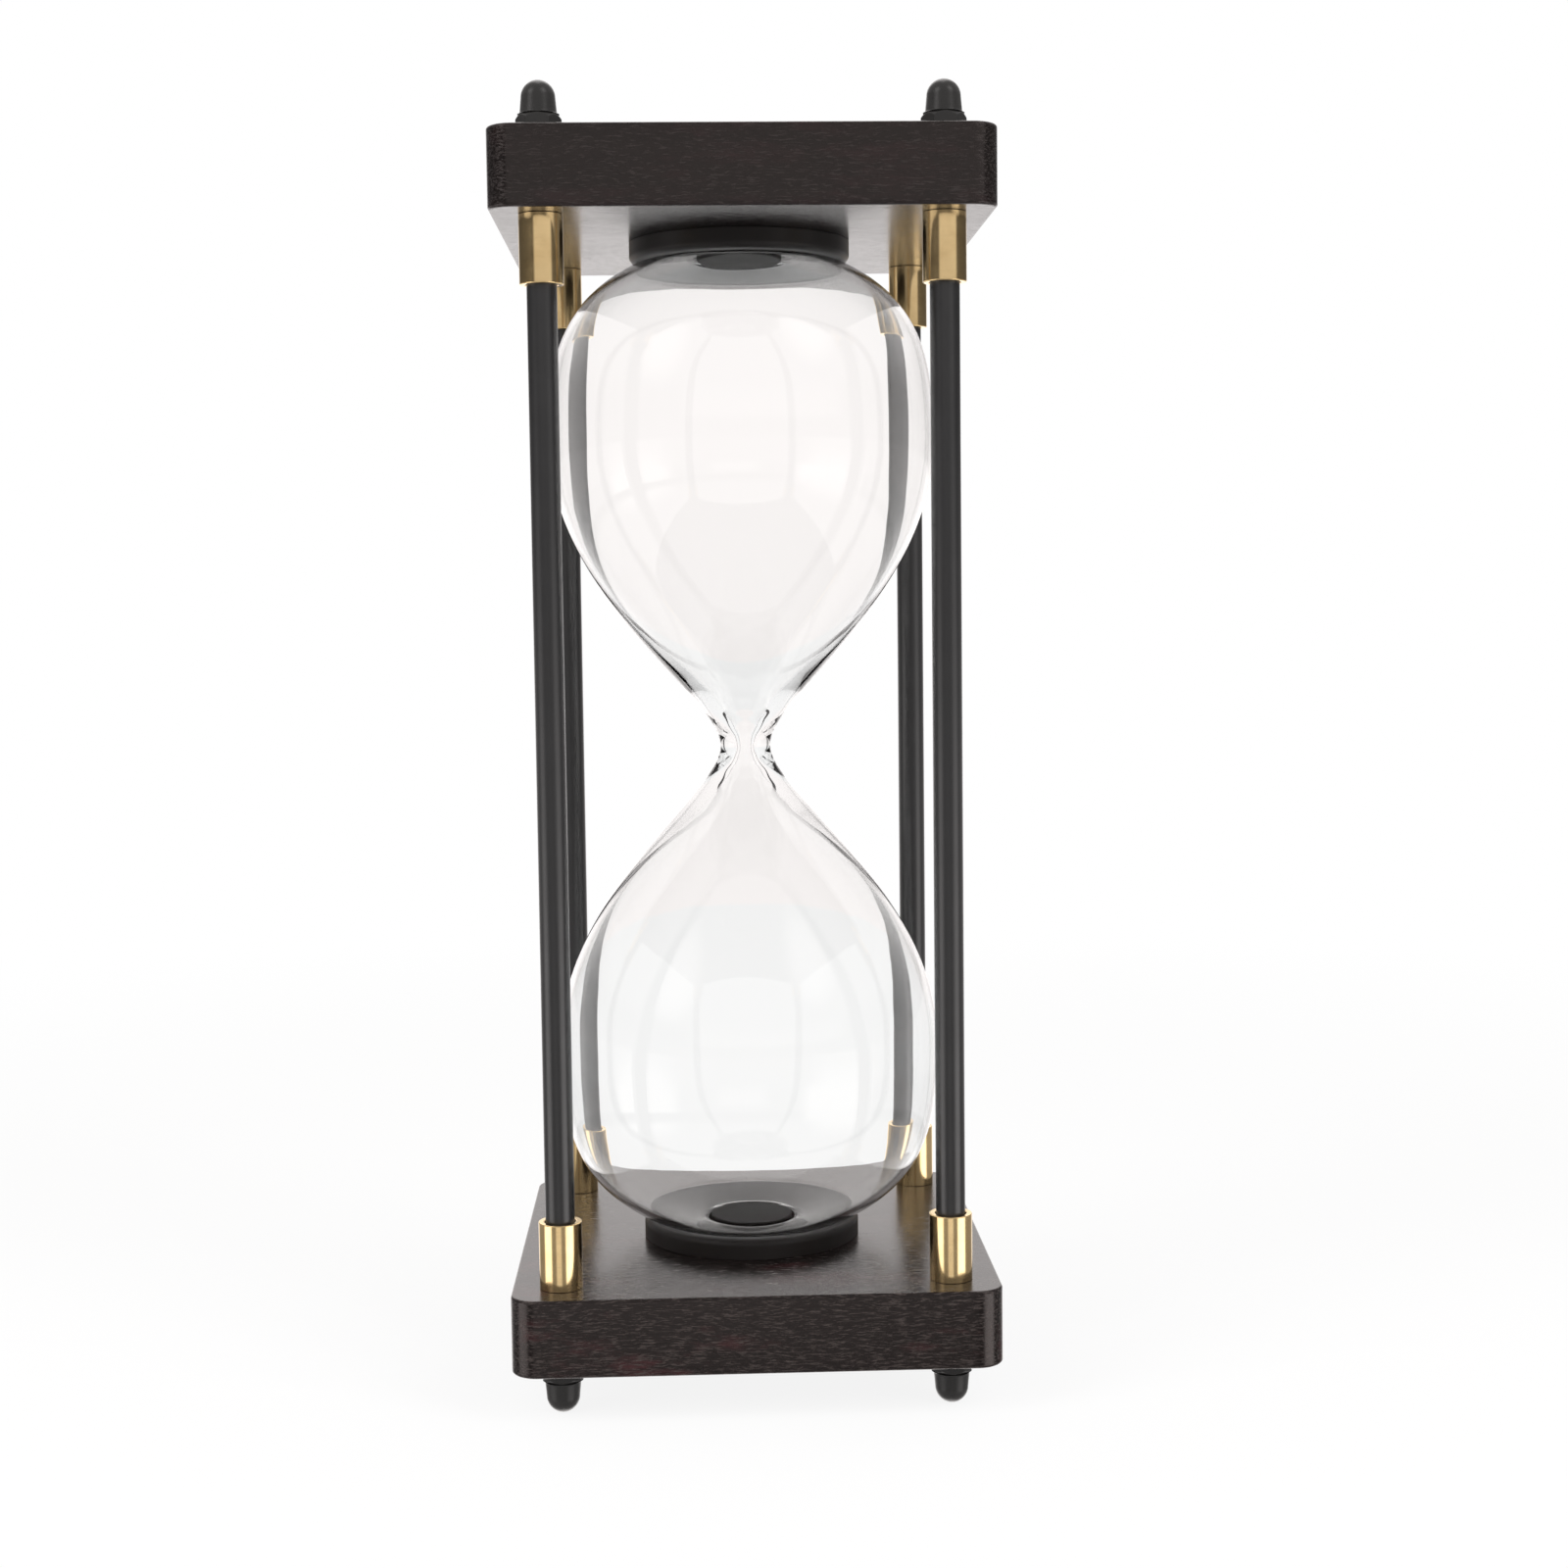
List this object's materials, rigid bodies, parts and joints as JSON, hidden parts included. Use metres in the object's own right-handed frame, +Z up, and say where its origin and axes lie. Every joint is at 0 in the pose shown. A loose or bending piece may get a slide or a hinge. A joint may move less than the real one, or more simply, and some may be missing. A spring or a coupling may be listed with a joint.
{
  "type": "hourglass",
  "caption": "Framed hourglass: a two-bulb clear glass held between square dark wood plates by black rods with brass ferrules and domed nuts that serve as feet.",
  "frame": {"origin": "on the ground under the middle of the object, level with the lowest points of the four lower nuts", "axes": "+Z up along the glass's axis, -Y towards the front, +X to the right seen from the front"},
  "size_m": [0.1, 0.1, 0.268],
  "materials": {
    "stained_wood": "near-black stained fine-grained hardwood under satin lacquer",
    "black_rod": "satin black coated steel",
    "brass": "polished thin-walled brass",
    "black_nut": "satin black coated steel",
    "seat_ring": "matte black",
    "clear_glass": "clear blown glass, fire-polished",
    "stopper": "matte black rubber"
  },
  "bodies": {
    "frame_base": {"bottom_plate": "stained_wood", "seat_ring_lower": "seat_ring", "rod_front_left": "black_rod", "rod_front_right": "black_rod", "rod_back_left": "black_rod", "rod_back_right": "black_rod", "ferrule_lower_front_left": "brass", "ferrule_lower_front_right": "brass", "ferrule_lower_back_left": "brass", "ferrule_lower_back_right": "brass", "ferrule_upper_front_left": "brass", "ferrule_upper_front_right": "brass", "ferrule_upper_back_left": "brass", "ferrule_upper_back_right": "brass"},
    "top": {"top_plate": "stained_wood", "seat_ring_upper": "seat_ring"},
    "glass": {"glass_body": "clear_glass"},
    "stopper_lower": {"stopper_lower": "stopper"},
    "stopper_upper": {"stopper_upper": "stopper"},
    "nut_lower_front_left": {"nut_lower_front_left": "black_nut"},
    "nut_upper_front_left": {"nut_upper_front_left": "black_nut"},
    "nut_lower_front_right": {"nut_lower_front_right": "black_nut"},
    "nut_upper_front_right": {"nut_upper_front_right": "black_nut"},
    "nut_lower_back_left": {"nut_lower_back_left": "black_nut"},
    "nut_upper_back_left": {"nut_upper_back_left": "black_nut"},
    "nut_lower_back_right": {"nut_lower_back_right": "black_nut"},
    "nut_upper_back_right": {"nut_upper_back_right": "black_nut"}
  },
  "joints": [
    {"name": "top_lift", "type": "slide", "parent": "frame_base", "child": "top", "axis": [0, 0, 1], "range_m": [0, 0.04]},
    {"name": "glass_lift", "type": "slide", "parent": "frame_base", "child": "glass", "axis": [0, 0, 1], "range_m": [0, 0.02]},
    {"name": "stopper_upper_pull", "type": "slide", "parent": "glass", "child": "stopper_upper", "axis": [0, 0, 1], "range_m": [0, 0.008]},
    {"name": "stopper_lower_pull", "type": "slide", "parent": "glass", "child": "stopper_lower", "axis": [0, 0, -1], "range_m": [0, 0.008]},
    {"name": "nut_upper_front_left_turn", "type": "hinge", "parent": "top", "child": "nut_upper_front_left", "pos_m": [-0.04, -0.04, 0.258], "axis": [0, 0, 1], "range_deg": [0, 3150]},
    {"name": "nut_upper_front_right_turn", "type": "hinge", "parent": "top", "child": "nut_upper_front_right", "pos_m": [0.04, -0.04, 0.258], "axis": [0, 0, 1], "range_deg": [0, 3150]},
    {"name": "nut_upper_back_left_turn", "type": "hinge", "parent": "top", "child": "nut_upper_back_left", "pos_m": [-0.04, 0.04, 0.258], "axis": [0, 0, 1], "range_deg": [0, 3150]},
    {"name": "nut_upper_back_right_turn", "type": "hinge", "parent": "top", "child": "nut_upper_back_right", "pos_m": [0.04, 0.04, 0.258], "axis": [0, 0, 1], "range_deg": [0, 3150]},
    {"name": "nut_lower_front_left_turn", "type": "hinge", "parent": "frame_base", "child": "nut_lower_front_left", "pos_m": [-0.04, -0.04, 0.01], "axis": [0, 0, -1], "range_deg": [0, 3150]},
    {"name": "nut_lower_front_right_turn", "type": "hinge", "parent": "frame_base", "child": "nut_lower_front_right", "pos_m": [0.04, -0.04, 0.01], "axis": [0, 0, -1], "range_deg": [0, 3150]},
    {"name": "nut_lower_back_left_turn", "type": "hinge", "parent": "frame_base", "child": "nut_lower_back_left", "pos_m": [-0.04, 0.04, 0.01], "axis": [0, 0, -1], "range_deg": [0, 3150]},
    {"name": "nut_lower_back_right_turn", "type": "hinge", "parent": "frame_base", "child": "nut_lower_back_right", "pos_m": [0.04, 0.04, 0.01], "axis": [0, 0, -1], "range_deg": [0, 3150]}
  ],
  "couplings": [
    {"joint": "glass_lift", "follows": "top_lift", "ratio": 0.5},
    {"joint": "stopper_upper_pull", "follows": "top_lift", "ratio": 0.2},
    {"joint": "stopper_lower_pull", "follows": "top_lift", "ratio": 0.2}
  ]
}
